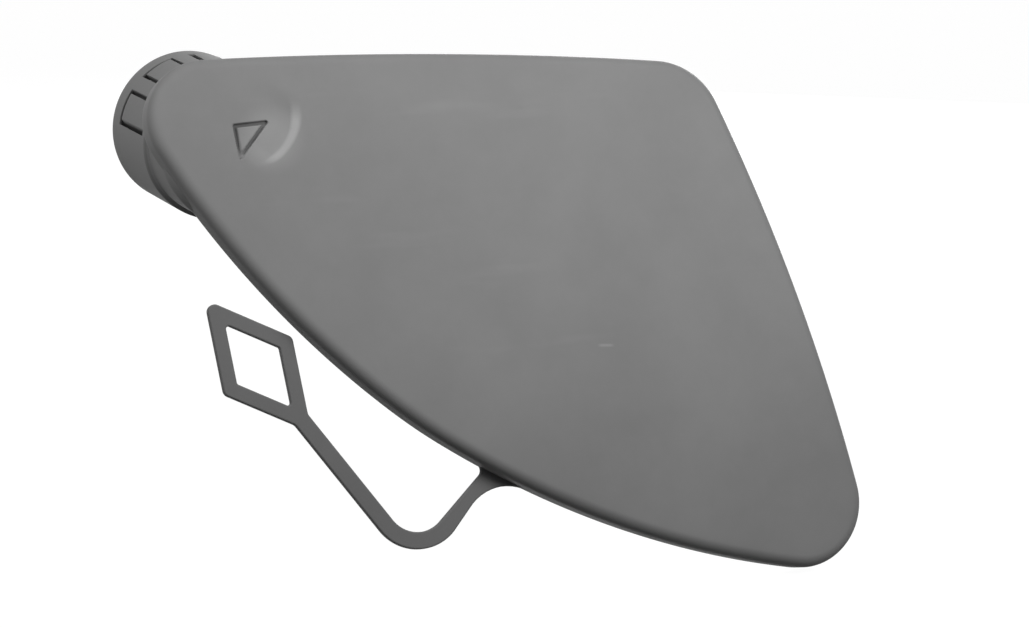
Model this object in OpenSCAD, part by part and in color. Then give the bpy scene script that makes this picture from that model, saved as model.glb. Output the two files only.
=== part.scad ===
// Bumper tow hook cover: one moulding with a crowned face plate, a round collar that plugs into the
// towing-eye hole, and a flat tether with a diamond loop.
// The collar's axis is the Y axis, pointing back into the bumper, and its open rim is at y = 0.

/* [Face plate outline] */
// Reach of the plate to the left of the collar's axis
plate_left = 18.9; // [17.5:0.1:21]
// Reach of the plate to the right of the collar's axis
plate_right = 137.7; // [132:0.1:145]
// Reach of the plate above the collar's axis, measured up the raked plate
plate_top = 21.8; // [20.5:0.1:24]
// Reach of the plate below the collar's axis, measured down the raked plate
plate_bottom = 100; // [97:0.1:103]
// Corner radius over the collar
left_corner_r = 13.7; // [11:0.1:15]
// Corner radius at the low right end
low_corner_r = 14.1; // [11:0.1:18]
// Corner radius at the upper right shoulder
shoulder_r = 15.2; // [10:0.1:19]
// Centre of the shoulder's curve, to the right of the collar's axis
shoulder_x = 97.9; // [92:0.1:104]
// How far the top edge falls from the left corner to the shoulder
shoulder_fall = 6; // [3:0.1:9]
// Radius of the belly, the rounder stretch of the lower edge
belly_r = 120; // [114:0.5:124]
// Centre of the belly's curve, to the right of the collar's axis
belly_x = 107.3; // [105:0.1:109]
// Reach of the belly's curve below the collar's axis, measured down the raked plate
belly_reach = 86.9; // [86:0.1:88.5]
// Bow radius of the lower left side
lower_left_bow = 190; // [180:1:205]
// Bow radius of the lower right side
lower_right_bow = 212; // [200:1:240]
// Bow radius of the right side
right_bow = 890; // [600:10:1800]
// Bow radius of the top side
top_bow = 1200; // [600:5:1800]

/* [Face plate section] */
// Rake of the plate: its top leans back over the collar
rake = 17; // [12:0.5:20]
// Thickness of the face
face_t = 2.5; // [2:0.1:3.5]
// Thickness of the skirt wall
skirt_wall = 2.2; // [1.8:0.1:3]
// Depth of the skirt, from the face to its lower edge
skirt_depth = 7; // [6:0.1:9]
// Inward draft of the skirt at its lower edge
skirt_draft = 0.2; // [0:0.05:0.4]
// Radius of the rolled front edge
edge_roll = 2.5; // [1.5:0.1:3.5]
// Radius of the fillet inside the skirt
inner_fillet = 1.2; // [0.6:0.1:1.6]
// Radius of the crown from left to right
crown_across = 800; // [500:10:1600]
// Radius of the crown from top to bottom
crown_down = 380; // [280:10:800]
// Crest of the crown, to the right of the collar's axis
crest_x = 62; // [50:0.5:75]
// Crest of the crown, below the collar's axis
crest_drop = 38; // [30:0.5:48]

/* [Collar] */
// Distance along the collar's axis from the open rim to the face
collar_depth = 42; // [40:0.5:52]
// Outer radius of the land that fits the hole
land_r = 17; // [16:0.1:18]
// Length of the land, from the rim
land_len = 25; // [20:0.5:25]
// Wall of the land
land_wall = 2; // [1.4:0.1:2.4]
// Outer radius of the neck between the land and the plate
neck_r = 16; // [15.5:0.1:16.4]
// Wall of the neck, which carries the tongues
neck_wall = 2.8; // [2.6:0.1:3.6]
// Length of the step from the neck to the land
neck_step = 1; // [0.6:0.1:2]
// Chamfer of the rim
rim_chamfer = 0.4; // [0.2:0.1:0.5]
// How far the collar is sunk into the face's inner side
collar_seat = 1.2; // [0.8:0.1:1.6]
// Height above the skirt's lower edge at which the collar ends where it stands out past the skirt
shoulder_lift = 1; // [0.6:0.1:2]

/* [Snap tongues] */
// Number of tongues in each of the two groups
tongue_count = 3; // [1:1:3]
// Pitch of the tongues in a group, in degrees
tongue_pitch = 39; // [34:1:44]
// Angle that a tongue takes up, in degrees
tongue_angle = 24; // [16:1:28]
// Direction of the first group's middle tongue, counted from the right
tongue_middle = 119; // [110:1:125]
// Distance from the rim to the slot that frees the tongues
tongue_inset = 6.5; // [5:0.1:8]
// Distance from the rim to the tongues' roots
tongue_root = 23.5; // [16:0.1:24]
// Width of the slots beside the tongues
slot_w = 0.8; // [0.6:0.1:1.2]
// Width of the slot that frees the tongues' tips
tip_slot = 2; // [1:0.1:2.6]

/* [Finger press] */
// Centre of the scoop, to the right of the collar's axis
scoop_x = 4.6; // [3.5:0.1:6.5]
// Centre of the scoop, above the collar's axis
scoop_y = 6.9; // [5:0.1:8]
// Radius of the scoop at the face
scoop_r = 8.8; // [7:0.1:9.5]
// Depth of the scoop at its deep side
scoop_depth = 0.9; // [0.5:0.05:1.1]
// Width of the sloping wall round the scoop's floor
scoop_wall = 1.9; // [1:0.1:2.4]
// Heading from the scoop's middle to its deep side, in degrees
scoop_heading = -38; // [-60:1:-20]
// Distance from the scoop's middle to the triangle's square corner, to the left
mark_left = 5.2; // [4.5:0.1:6]
// Distance from the scoop's middle to the triangle's square corner, upwards
mark_up = -0.5; // [-1:0.1:1]
// Turn of the triangle in the face, in degrees
mark_turn = 3; // [0:1:6]
// Leg of the engraved triangle, along its groove
mark_leg = 7; // [5:0.1:8]
// Width of the engraved groove
mark_groove = 0.8; // [0.5:0.05:1]
// Depth of the engraved groove below the plate's face
mark_depth = 1; // [0.8:0.05:1.3]

/* [Tether] */
// Width of the tether
tether_w = 3.75; // [3:0.05:4.5]
// Width of the tether where it leaves its root
tether_root_w = 2.8; // [2.2:0.05:3]
// Thickness of the tether
tether_t = 1.6; // [1.2:0.1:2.4]
// Place of the root on the lower left side, as the direction of its edge normal
root_angle = 237; // [233:0.1:241]
// Heading of the tether as it leaves its root
root_heading = 224.5; // [215:0.5:235]
// Length of the short run, from the root to the bend
short_run = 14.6; // [12:0.1:20]
// Radius of the bend at the tether's middle
bend_r = 9.1; // [7:0.1:11]
// Turn of the bend, in degrees
bend_turn = 100; // [85:1:115]
// Length of the long run, from the bend to the loop
long_run = 29.5; // [22:0.1:38]
// Length of the diamond loop, along its middle line
loop_len = 29.8; // [22:0.1:32]
// Width of the diamond loop, along its middle line
loop_w = 16.2; // [14:0.1:21]
// Width of the loop's arms
loop_arm = 3.3; // [2.6:0.1:3.8]
// Fillet inside the loop's corners
loop_fillet = 0.6; // [0.3:0.1:1.2]
// Fillet of the root on its inner side
root_fillet_in = 1.6; // [0.8:0.1:2.4]
// Fillet of the root on its outer side
root_fillet_out = 7; // [4:0.1:9]

/* [Back] */
// Width of the retaining hooks
hook_w = 10; // [6:0.5:14]
// Thickness of the retaining hooks
hook_t = 2; // [1.5:0.1:2.6]
// Reach of the retaining hooks behind the face
hook_reach = 15; // [12:0.5:20]
// Lip of the retaining hooks
hook_lip = 2.2; // [1.2:0.1:3]
// Length of the catch under the lip, along the hook
hook_catch = 0.9; // [0.5:0.1:1.4]
// Length of the lead-in over the lip, along the hook
hook_lead = 2.6; // [1.6:0.1:3.4]
// Thickness of the hook's tip beyond its stem
hook_tip = 0.9; // [0.4:0.1:1.1]
// Distance from the plate's edge to a hook's outer face
hook_inset = 6; // [5.5:0.1:9]

/* [Hidden] */
shade = "dimgray";

// Rounded corners of the outline as [x, y, radius], counter-clockwise from the one over the collar
corners = [
    [left_corner_r - plate_left, plate_top - left_corner_r, left_corner_r],
    [belly_x, belly_r - belly_reach, belly_r],
    [plate_right - low_corner_r, low_corner_r - plate_bottom, low_corner_r],
    [shoulder_x, plate_top - shoulder_fall - shoulder_r, shoulder_r]
];
// Bow radius of the side that follows each corner, and the steps of each corner and side
bows = [lower_left_bow, lower_right_bow, right_bow, top_bow];
corner_steps = [14, 4, 12, 10];
side_steps = [18, 16, 12, 12];

// Crown of the face: its height above the plane through the point where the collar's axis meets it
crest = [crest_x, -crest_drop];
function bulge(p) = pow(p.x - crest.x, 2) / (2 * crown_across)
    + pow(p.y - crest.y, 2) / (2 * crown_down);
function crown(p) = bulge([0, 0]) - bulge(p);

// Centre of the arc with radius R that touches two corner circles from outside
function bow_centre(a, b, R) =
    let (
        d = norm([b.x - a.x, b.y - a.y]),
        along = [b.x - a.x, b.y - a.y] / d,
        ra = R - a.z,
        rb = R - b.z,
        s = (ra * ra - rb * rb + d * d) / (2 * d),
        h = sqrt(ra * ra - s * s)
    )
    [a.x, a.y] + along * s + [-along.y, along.x] * h;
function direction(v) = atan2(v.y, v.x);
function unit(angle) = [cos(angle), sin(angle)];
function turn(a, b) = (b - a + 720) % 360;

bow_centres = [for (i = [0:3]) bow_centre(corners[i], corners[(i + 1) % 4], bows[i])];
function flat(c) = [c.x, c.y];
// Direction of the edge normal where side i starts at its corner and where it ends at the next one
side_start = [for (i = [0:3]) direction(flat(corners[i]) - bow_centres[i])];
side_end = [for (i = [0:3]) direction(flat(corners[(i + 1) % 4]) - bow_centres[i])];

// Points of the outline with their outward normals, as [x, y, normal x, normal y]
function arc_points(centre, r, start, sweep, steps) = [
    for (k = [0:steps - 1])
        let (n = unit(start + sweep * k / steps), p = centre + n * r)
        [p.x, p.y, n.x, n.y]
];
outline = [
    for (i = [0:3])
        let (before = side_end[(i + 3) % 4])
        each concat(
            arc_points(flat(corners[i]), corners[i].z, before, turn(before, side_start[i]),
                corner_steps[i]),
            arc_points(bow_centres[i], bows[i], side_start[i], turn(side_start[i], side_end[i]),
                side_steps[i])
        )
];
function inset_point(q, inset) = [q[0] - q[2] * inset, q[1] - q[3] * inset];

// Rings of the shell as [inset from the outline, drop below the crown, scale about the crest],
// from the middle of the face over the rolled edge and round the skirt to the middle of the back
face_scales = [0.15, 0.32, 0.5, 0.67, 0.82, 0.93];
roll_steps = 5;
back_scales = [0.92, 0.78, 0.6, 0.4, 0.2];
back_inset = skirt_wall + inner_fillet;
fillet_mid = inner_fillet * (1 - sqrt(0.5));
rings = concat(
    [for (s = face_scales) [edge_roll, 0, s]],
    [
        for (k = [0:roll_steps])
            let (a = 90 * k / roll_steps)
            [edge_roll * (1 - sin(a)), edge_roll * (1 - cos(a)), 1]
    ],
    [
        [skirt_draft, skirt_depth, 1],
        [skirt_draft + skirt_wall, skirt_depth, 1],
        [skirt_wall, face_t + inner_fillet, 1],
        [skirt_wall + fillet_mid, face_t + fillet_mid, 1],
        [back_inset, face_t, 1]
    ],
    [for (s = back_scales) [back_inset, face_t, s]]
);
function ring_point(q, ring) =
    let (p = inset_point(q, ring[0]), m = crest + (p - crest) * ring[2])
    [m.x, m.y, crown(m) - ring[1]];

// Places the plate's own frame, x to the right, y up the plate and z out of its face
module on_plate() {
    translate([0, -collar_depth, 0])
        rotate([90 - rake, 0, 0])
            children();
}

// Places a frame that lies on the crowned face at a point, with z along the face's normal
module on_face(p) {
    slope_x = -(p.x - crest.x) / crown_across;
    slope_y = -(p.y - crest.y) / crown_down;
    translate([p.x, p.y, crown(p)])
        rotate([atan(slope_y), -atan(slope_x), 0])
            children();
}

// Crowned face, rolled edge and skirt in one closed shell
module shell() {
    n = len(outline);
    m = len(rings);
    points = concat(
        [for (ring = rings, q = outline) ring_point(q, ring)],
        [[crest.x, crest.y, crown(crest)], [crest.x, crest.y, crown(crest) - face_t]]
    );
    walls = [
        for (j = [0:m - 2], i = [0:n - 1])
            let (a = j * n + i, b = j * n + (i + 1) % n)
            each [[a, a + n, b + n], [a, b + n, b]]
    ];
    front = [for (i = [0:n - 1]) [m * n, i, (i + 1) % n]];
    back = [for (i = [0:n - 1]) [m * n + 1, (m - 1) * n + (i + 1) % n, (m - 1) * n + i]];
    polyhedron(points, [for (f = concat(walls, front, back)) [f[2], f[1], f[0]]], convexity = 6);
}

// Longest stretch of collar that the raked plate can need, before it is trimmed to the face
collar_stock = collar_depth + 2 * land_r;

// Collar turned about its axis: land, step, neck and the bore with its own step
module collar_blank() {
    step = land_len + neck_step;
    rotate([-90, 0, 0])
        rotate_extrude($fn = 96)
            polygon([
                [land_r - rim_chamfer, 0],
                [land_r, -rim_chamfer],
                [land_r, -land_len],
                [neck_r, -step],
                [neck_r, -collar_stock],
                [neck_r - neck_wall, -collar_stock],
                [neck_r - neck_wall, -step],
                [land_r - land_wall, -step + neck_step],
                [land_r - land_wall, 0]
            ]);
}

// Everything in front of the face's inner side, where the collar ends
module before_face() {
    on_plate()
        on_face([0, 0])
            translate([-3 * land_r, -3 * land_r, collar_seat - face_t])
                cube([6 * land_r, 6 * land_r, 4 * land_r]);
}

// Space beyond the skirt's wall where the collar passes closest to the plate's edge, in front of a
// shoulder just above the skirt's lower edge
module beyond_the_skirt() {
    nearest = lower_left_bow - norm(bow_centres[0]) - skirt_wall / 2;
    on_plate()
        rotate(direction(-bow_centres[0]))
            translate([nearest, -2 * land_r, shoulder_lift - skirt_depth])
                cube([2 * land_r, 4 * land_r, 4 * land_r]);
}

// Slots that free one tongue, cut straight along the pull of its group's side core
module tongue_slots(group, offset) {
    sides = [for (side = [-1, 1]) land_r * sin(offset + side * tongue_angle / 2)];
    tip_edge = tongue_inset - tip_slot / 2;
    pull = land_r + 1;
    rotate([0, -tongue_middle - group, 0]) {
        for (z = sides)
            translate([0, -tongue_root, z - slot_w / 2])
                cube([pull, tongue_root - tip_edge, slot_w]);
        translate([0, -tip_edge - tip_slot, sides[0] - slot_w / 2])
            cube([pull, tip_slot, sides[1] - sides[0] + slot_w]);
    }
}

module collar() {
    difference() {
        collar_blank();
        before_face();
        beyond_the_skirt();
        for (group = [0, 180], k = [0:tongue_count - 1])
            tongue_slots(group, (k - (tongue_count - 1) / 2) * tongue_pitch);
    }
}

// Round scoop for the finger: its floor falls from the face on one side to its depth on the other
module scoop() {
    floor_r = scoop_r - scoop_wall;
    tilt = atan(scoop_depth / (2 * floor_r));
    on_plate()
        on_face([scoop_x, scoop_y])
            rotate(scoop_heading)
                translate([0, 0, -scoop_depth / 2])
                    rotate([0, tilt, 0])
                        cylinder(
                            h = 2 * scoop_depth,
                            r1 = floor_r,
                            r2 = floor_r + 2 * scoop_wall,
                            $fn = 96
                        );
}

// Engraved outline of a right-angled triangle, its square corner at the scoop's upper left
module triangle_mark() {
    half = mark_groove / 2;
    slant = 1 + sqrt(2);
    outer = mark_leg + half * (1 + slant);
    inner = mark_leg - half * (1 + slant);
    on_plate()
        on_face([scoop_x, scoop_y])
            translate([-mark_left, mark_up, -mark_depth])
                rotate(mark_turn)
                    linear_extrude(2 * mark_depth)
                        difference() {
                            translate([-half, half])
                                polygon([[0, 0], [0, -outer], [outer, 0]]);
                            translate([half, -half])
                                polygon([[0, 0], [0, -inner], [inner, 0]]);
                        }
}

// How far a web reaches back past its corner, into the strap and the skirt
web_overlap = 0.5;
// How far a web's foot lies under the skirt's curved wall, so that its end runs out in the wall
web_sink = 0.15;

// Wedge between two edges that leave a corner, filled up to a round of radius f
module corner_fillet(corner, heading_a, heading_b, f) {
    half = turn(heading_a, heading_b) / 2;
    t = f / tan(half);
    inward = -unit(heading_a + half) * web_overlap;
    start = corner + unit(heading_a) * t;
    end = corner + unit(heading_b) * t;
    middle = corner + unit(heading_a + half) * f / sin(half);
    difference() {
        polygon([start, middle, end, end + inward, corner + inward, start + inward]);
        translate(middle)
            circle(r = f, $fn = 64);
    }
}

// Where the tether's middle line crosses the skirt's outer wall
root_normal = unit(root_angle);
root_point = bow_centres[0] + root_normal * lower_left_bow;
root_level = crown(root_point) - skirt_depth;

// Web that spreads the tether's root along the skirt
module root_web() {
    edge = root_angle - 90;
    along = unit(edge);
    half_foot = tether_root_w / 2 / cos(root_heading - root_angle);
    seat = root_point - root_normal * (skirt_draft + web_sink);
    corner_fillet(seat + along * half_foot, root_heading, edge + 360, root_fillet_in);
    corner_fillet(seat - along * half_foot, edge + 180 + 360, root_heading + 360, root_fillet_out);
}

// Middle line of the tether as stations [point, heading, width]: sunk root, short run, bend, long run
bend_steps = 12;
root_sunk = skirt_wall / 2;
bend_start = root_point + unit(root_heading) * short_run;
bend_centre = bend_start + unit(root_heading - 90) * bend_r;
long_heading = root_heading - bend_turn;
loop_start = bend_centre + unit(long_heading + 90) * bend_r + unit(long_heading) * long_run;
stations = concat(
    [
        [root_point - unit(root_heading) * root_sunk, root_heading, tether_root_w],
        [root_point, root_heading, tether_root_w]
    ],
    [
        for (k = [0:bend_steps])
            let (heading = root_heading - bend_turn * k / bend_steps)
            [bend_centre + unit(heading + 90) * bend_r, heading, tether_w]
    ],
    [[loop_start, long_heading, tether_w]]
);
function side_point(s, side) = s[0] + unit(s[1] + 90) * side * s[2] / 2;

// Diamond with round corners, centred, from the half length and half width of its straight core
tip_steps = 6;
function tip(corner, from, sweep, r) = [
    for (k = [0:tip_steps])
        corner + unit(from + sweep * k / tip_steps) * r
];
function diamond(half_l, half_w, r) =
    let (lean = atan(half_w / half_l))
    concat(
        tip([-half_l, 0], 90 + lean, 180 - 2 * lean, r),
        tip([0, -half_w], 270 - lean, 2 * lean, r),
        tip([half_l, 0], lean - 90, 180 - 2 * lean, r),
        tip([0, half_w], 90 - lean, 2 * lean, r)
    );

// Diamond loop along +x, starting at the middle line of its near corner
module loop() {
    half_l = loop_len / 2;
    half_w = loop_w / 2;
    lean = atan(half_w / half_l);
    core = loop_arm / 2 + loop_fillet;
    translate([half_l, 0])
        difference() {
            polygon(diamond(half_l, half_w, loop_arm / 2));
            polygon(diamond(half_l - core / sin(lean), half_w - core / cos(lean), loop_fillet));
        }
}

// Tether in its own plane: web at the root, strap and loop
module tether_profile() {
    last = len(stations) - 1;
    root_web();
    polygon(concat(
        [for (k = [0:last]) side_point(stations[k], 1)],
        [for (k = [last:-1:0]) side_point(stations[k], -1)]
    ));
    translate(loop_start)
        rotate(long_heading)
            loop();
}

module tether() {
    on_plate()
        translate([0, 0, root_level])
            linear_extrude(tether_t)
                tether_profile();
}

// Retaining hook on the back, at a point of the edge with its outward normal
module back_hook(q) {
    p = inset_point(q, hook_inset);
    translate([p.x, p.y, crown(p)])
        rotate(direction([q[2], q[3]]))
            rotate([90, 0, 0])
                translate([0, 0, -hook_w / 2])
                    linear_extrude(hook_w)
                        polygon([
                            [-hook_t, -face_t / 2],
                            [0, -face_t / 2],
                            [0, hook_lead + hook_catch - hook_reach],
                            [hook_lip, hook_lead - hook_reach],
                            [hook_tip, -hook_reach],
                            [-hook_t, -hook_reach]
                        ]);
}

// Hook stations on the outline
right_side = corner_steps[0] + side_steps[0] + corner_steps[1] + side_steps[1] + corner_steps[2];
lower_side = corner_steps[0] + side_steps[0] + corner_steps[1];
hook_stations = [outline[right_side + 4], outline[right_side + 10], outline[lower_side + 5]];

module back_details() {
    on_plate()
        for (q = hook_stations)
            back_hook(q);
}

module cover() {
    color(shade)
        difference() {
            union() {
                on_plate() shell();
                collar();
                tether();
                back_details();
            }
            scoop();
            triangle_mark();
        }
}

cover();
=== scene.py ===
"""Looks of a bumper tow hook cover: one satin plastic moulding, shown as four closed surfaces.

The panel, the snap collar, the tether and the back hooks are worked out from the sizes of the
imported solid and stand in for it. Sizes are in millimetres until a mesh is made. The plate has a
frame of its own: u to the right, v up the raked plate and n out of its face.
"""

import logging
from dataclasses import dataclass, field
from enum import Enum
from functools import reduce
from typing import ClassVar

import bmesh
import bpy
import numpy as np
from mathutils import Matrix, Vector


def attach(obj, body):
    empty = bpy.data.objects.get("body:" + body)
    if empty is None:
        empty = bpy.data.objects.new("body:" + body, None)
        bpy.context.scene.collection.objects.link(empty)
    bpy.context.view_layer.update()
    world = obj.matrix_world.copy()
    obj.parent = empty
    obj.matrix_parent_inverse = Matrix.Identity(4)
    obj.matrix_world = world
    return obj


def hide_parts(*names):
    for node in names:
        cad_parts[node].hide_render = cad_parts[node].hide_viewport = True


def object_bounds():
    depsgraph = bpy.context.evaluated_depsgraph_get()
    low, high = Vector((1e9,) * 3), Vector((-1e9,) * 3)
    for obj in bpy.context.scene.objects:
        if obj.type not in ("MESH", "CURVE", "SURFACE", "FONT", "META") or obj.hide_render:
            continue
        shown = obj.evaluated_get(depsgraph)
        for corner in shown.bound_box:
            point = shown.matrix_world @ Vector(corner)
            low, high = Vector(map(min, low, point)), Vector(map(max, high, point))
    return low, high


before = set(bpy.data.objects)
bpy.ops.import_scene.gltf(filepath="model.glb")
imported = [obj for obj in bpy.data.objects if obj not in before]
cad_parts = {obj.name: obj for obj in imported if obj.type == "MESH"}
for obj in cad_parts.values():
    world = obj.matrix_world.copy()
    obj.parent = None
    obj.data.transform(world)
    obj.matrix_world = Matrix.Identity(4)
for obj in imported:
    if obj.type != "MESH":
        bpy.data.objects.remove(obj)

log = logging.getLogger("tow_hook_cover")
METRES = 0.001
NODE = "cover"
BODY = "root"
# Grey of the tether: a darker copy of the satin plastic, painted shade for the dimmer light on the
# strap.
TETHER_PAINTED_SHADE = 0.165
WHITE = (1.0, 1.0, 1.0, 1.0)
CAD_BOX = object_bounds()
Socket = bpy.types.NodeSocket
Feed = Socket | float | tuple[float, ...] | np.ndarray


def unit(degrees: np.ndarray | float) -> np.ndarray:
    """Unit vectors at angles counted from +u towards +v.

    Args:
        degrees: The angles.

    Returns:
        The vectors, with their two coordinates on the last axis.
    """
    angle = np.radians(degrees)
    return np.stack([np.cos(angle), np.sin(angle)], axis=-1)


def direction(vectors: np.ndarray) -> np.ndarray:
    """Directions of flat vectors, in degrees from +u towards +v."""
    return np.degrees(np.arctan2(vectors[..., 1], vectors[..., 0]))


def signed(degrees: np.ndarray | float) -> np.ndarray | float:
    """Same angles, brought between -180 and 180 degrees."""
    return (degrees + 180.0) % 360.0 - 180.0


def smooth_step(low: float, high: float, value: np.ndarray) -> np.ndarray:
    """Cubic step that goes from 0 at low to 1 at high."""
    share = np.clip((value - low) / (high - low), 0.0, 1.0)
    return share * share * (3.0 - 2.0 * share)


def crowded(length: float, count: int, focus: float, reach: float, gain: float) -> np.ndarray:
    """Places along a length that lie closer together round one of them.

    The places are the inverse of the running sum of a density, which is 1 far from the focus and
    gain at it.

    Args:
        length: The whole length.
        count: How many places, both ends among them.
        focus: Where they crowd.
        reach: How far the crowding reaches on each side.
        gain: How many times closer they lie there.

    Returns:
        The places in rising order.
    """
    fine = np.linspace(0.0, length, 8001)
    density = 1.0 + (gain - 1.0) * np.exp(-(((fine - focus) / reach) ** 4))
    running = np.concatenate([[0.0], np.cumsum(0.5 * (density[1:] + density[:-1]))])
    return np.interp(np.linspace(0.0, running[-1], count), running, fine)


def ring_quads(rows: int, around: int) -> np.ndarray:
    """Quads between closed rings of points that are stored ring by ring.

    Args:
        rows: Number of rings.
        around: Points in a ring.

    Returns:
        Point numbers, four to a quad.
    """
    j, i = np.meshgrid(np.arange(rows - 1), np.arange(around), indexing="ij")
    here, right = j * around + i, j * around + (i + 1) % around
    return np.stack([here, here + around, right + around, right], axis=-1).reshape(-1, 4)


def as_object(name: str, points: np.ndarray, faces: list[np.ndarray],
              smooth: bool | np.ndarray = True) -> bpy.types.Object:
    """Puts a closed surface into a new object, with every face pointing outwards.

    Args:
        name: The object's name.
        points: Points in the row frame, in millimetres.
        faces: Arrays of point numbers, one array for each count of corners.
        smooth: Whether the faces are shaded smooth, for all of them or one by one.

    Returns:
        The object, linked to the scene and lying at the origin.
    """
    mesh = bpy.data.meshes.new(name)
    rings = [face for block in faces for face in block.tolist()]
    mesh.from_pydata((points * METRES).tolist(), [], rings)
    work = bmesh.new()
    work.from_mesh(mesh)
    bmesh.ops.recalc_face_normals(work, faces=work.faces)
    if work.calc_volume(signed=True) < 0.0:
        bmesh.ops.reverse_faces(work, faces=work.faces)
    work.to_mesh(mesh)
    work.free()
    mesh.polygons.foreach_set("use_smooth", np.broadcast_to(smooth, len(mesh.polygons)).copy())
    mesh.update()
    piece = bpy.data.objects.new(name, mesh)
    bpy.context.scene.collection.objects.link(piece)
    return piece


def break_edges(piece: bpy.types.Object, width: float, segments: int, sharp: float) -> None:
    """Rounds a piece's sharp edges with a small bevel.

    Args:
        piece: The piece.
        width: The bevel's width, in millimetres.
        segments: Its steps.
        sharp: Least angle between two faces at which their edge is rounded, in degrees.
    """
    bevel = piece.modifiers.new("broken_edges", "BEVEL")
    bevel.width = width * METRES
    bevel.segments = segments
    bevel.limit_method = "ANGLE"
    bevel.angle_limit = np.radians(sharp)
    bevel.harden_normals = True


@dataclass(frozen=True)
class PlateSizes:
    """Driving sizes of the face plate, the same as the solid's."""

    left: float = 18.9
    right: float = 137.7
    top: float = 21.8
    bottom: float = 100.0
    left_corner_r: float = 13.7
    low_corner_r: float = 14.1
    shoulder_r: float = 15.2
    shoulder_x: float = 97.9
    shoulder_fall: float = 6.0
    belly_r: float = 120.0
    belly_x: float = 107.3
    belly_reach: float = 86.9
    bows: tuple[float, ...] = (190.0, 212.0, 890.0, 1200.0)
    rake: float = 17.0
    face_t: float = 2.5
    skirt_wall: float = 2.2
    skirt_depth: float = 7.0
    skirt_draft: float = 0.2
    edge_roll: float = 2.5
    inner_fillet: float = 1.2
    lip_r: float = 0.2
    crown_across: float = 800.0
    crown_down: float = 380.0
    crest: tuple[float, float] = (62.0, -38.0)
    collar_depth: float = 42.0


class Outline:
    """Outline of the plate: a closed chain of tangent arcs, corner, side, corner and so on."""

    def __init__(self, sizes: PlateSizes) -> None:
        """Works out the arcs from the corners and the bows of the sides.

        A side's centre lies where two circles of the bow radius less the corner radii meet.

        Args:
            sizes: The plate's driving sizes.
        """
        low = sizes.low_corner_r
        corners = np.array([
            [sizes.left_corner_r - sizes.left, sizes.top - sizes.left_corner_r, sizes.left_corner_r],
            [sizes.belly_x, sizes.belly_r - sizes.belly_reach, sizes.belly_r],
            [sizes.right - low, low - sizes.bottom, low],
            [sizes.shoulder_x, sizes.top - sizes.shoulder_fall - sizes.shoulder_r, sizes.shoulder_r],
        ])
        after = np.roll(corners, -1, axis=0)
        bows = np.array(sizes.bows)
        gap = after[:, :2] - corners[:, :2]
        span = np.linalg.norm(gap, axis=1)
        along = gap / span[:, None]
        here, there = bows - corners[:, 2], bows - after[:, 2]
        foot = (here**2 - there**2 + span**2) / (2.0 * span)
        height = np.sqrt(here**2 - foot**2)
        across = np.stack([-along[:, 1], along[:, 0]], axis=1)
        self.bow_centres = corners[:, :2] + along * foot[:, None] + across * height[:, None]
        start = direction(corners[:, :2] - self.bow_centres)
        end = direction(after[:, :2] - self.bow_centres)
        before = np.roll(end, 1)
        self.centres = np.stack([corners[:, :2], self.bow_centres], axis=1).reshape(-1, 2)
        self.radii = np.stack([corners[:, 2], bows], axis=1).ravel()
        self.starts = np.stack([before, start], axis=1).ravel()
        sweeps = np.stack([(start - before) % 360.0, (end - start) % 360.0], axis=1).ravel()
        self.marks = np.concatenate([[0.0], np.cumsum(self.radii * np.radians(sweeps))])

    @property
    def length(self) -> float:
        """Length of the whole outline."""
        return float(self.marks[-1])

    def at(self, distance: np.ndarray) -> tuple[np.ndarray, np.ndarray]:
        """Points of the outline, each on the arc that its distance falls in.

        Args:
            distance: Distances along the outline from the start of the corner over the collar.

        Returns:
            The points and their outward normals.
        """
        arc = np.clip(np.searchsorted(self.marks, distance, side="right") - 1, 0, len(self.radii) - 1)
        angle = self.starts[arc] + np.degrees((distance - self.marks[arc]) / self.radii[arc])
        normal = unit(angle)
        return self.centres[arc] + normal * self.radii[arc][:, None], normal


@dataclass(frozen=True)
class Plate:
    """Crowned face plate and the frame that it gives to what is on it."""

    sizes: PlateSizes = field(default_factory=PlateSizes)

    def crown(self, p: np.ndarray) -> np.ndarray:
        """Height of the crown: two parabolas about the crest, zero where the collar's axis meets it.

        Args:
            p: Points in the plate's frame.

        Returns:
            The heights.
        """
        cu, cv = self.sizes.crest
        across, down = 2.0 * self.sizes.crown_across, 2.0 * self.sizes.crown_down
        fall = (p[..., 0] - cu) ** 2 / across + (p[..., 1] - cv) ** 2 / down
        return cu**2 / across + cv**2 / down - fall

    def slope(self, p: tuple[float, float]) -> tuple[float, float]:
        """Slopes of the crown at a point, towards +u and towards +v."""
        cu, cv = self.sizes.crest
        return -(p[0] - cu) / self.sizes.crown_across, -(p[1] - cv) / self.sizes.crown_down

    def world(self, u: np.ndarray, v: np.ndarray, n: np.ndarray) -> np.ndarray:
        """Turns plate frame coordinates by the rake and moves them back by the collar.

        Args:
            u: Coordinates to the right.
            v: Coordinates up the plate.
            n: Heights out of its face.

        Returns:
            Points in the row frame.
        """
        rake = np.radians(self.sizes.rake)
        y = np.sin(rake) * v - np.cos(rake) * n - self.sizes.collar_depth
        z = np.cos(rake) * v + np.sin(rake) * n
        return np.stack(np.broadcast_arrays(u, y, z), axis=-1)


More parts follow.
